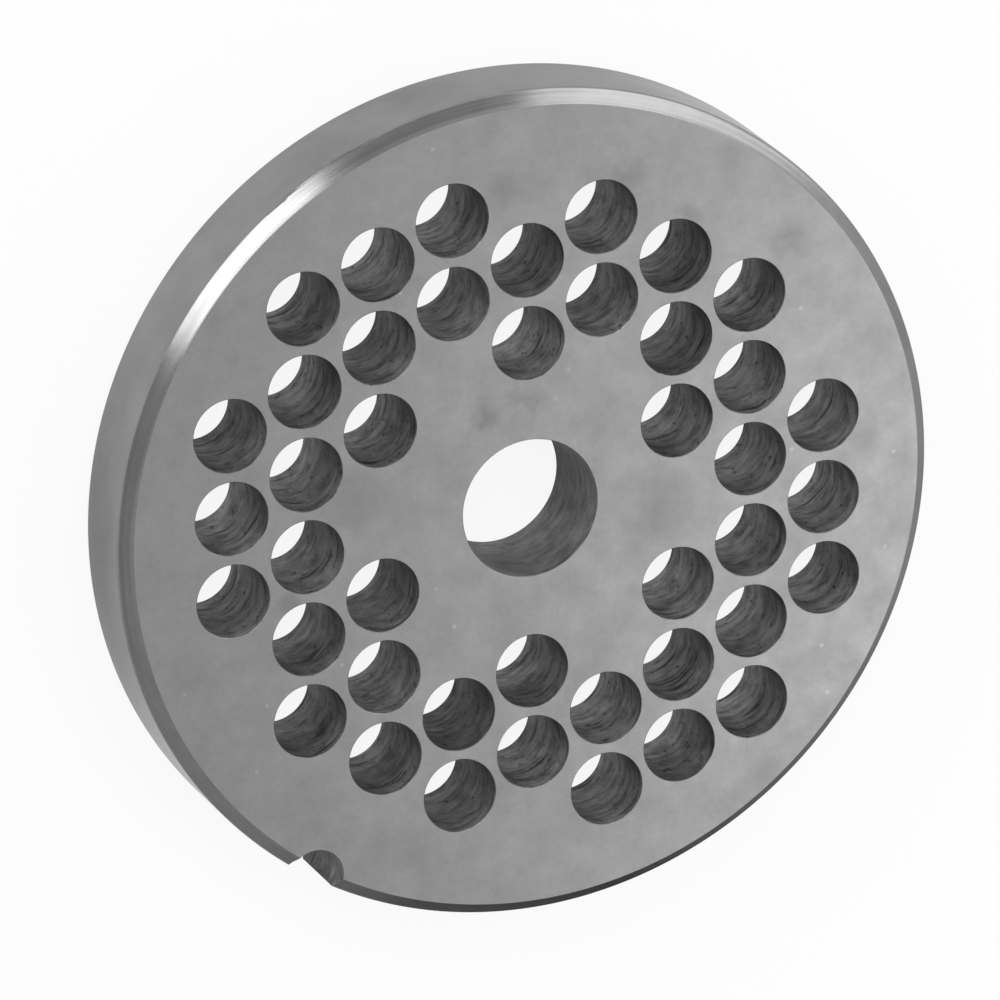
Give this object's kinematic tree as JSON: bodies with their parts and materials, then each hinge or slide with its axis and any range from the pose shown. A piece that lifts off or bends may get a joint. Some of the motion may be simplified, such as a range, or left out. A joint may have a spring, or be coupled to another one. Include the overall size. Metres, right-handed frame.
{
  "type": "meat grinder plate",
  "caption": "Flat round steel grinder plate with a band of drilled through-holes round a plain central bore, chamfered edges and a half-round notch in the rim.",
  "frame": {"origin": "on the bore axis, in the back face that the plate lies on", "axes": "+Z along the bore axis out of the front face; +Y along the straight rows of mincing holes; the rim notch is at the lower left, 237 degrees counter-clockwise from +X"},
  "size_m": [0.07, 0.07, 0.009],
  "materials": {
    "ground_steel": "ground faces, turned rim and chamfers, drilled holes with faint tool rings"
  },
  "bodies": {
    "root": {"grinder_plate": "ground_steel"}
  },
  "joints": []
}
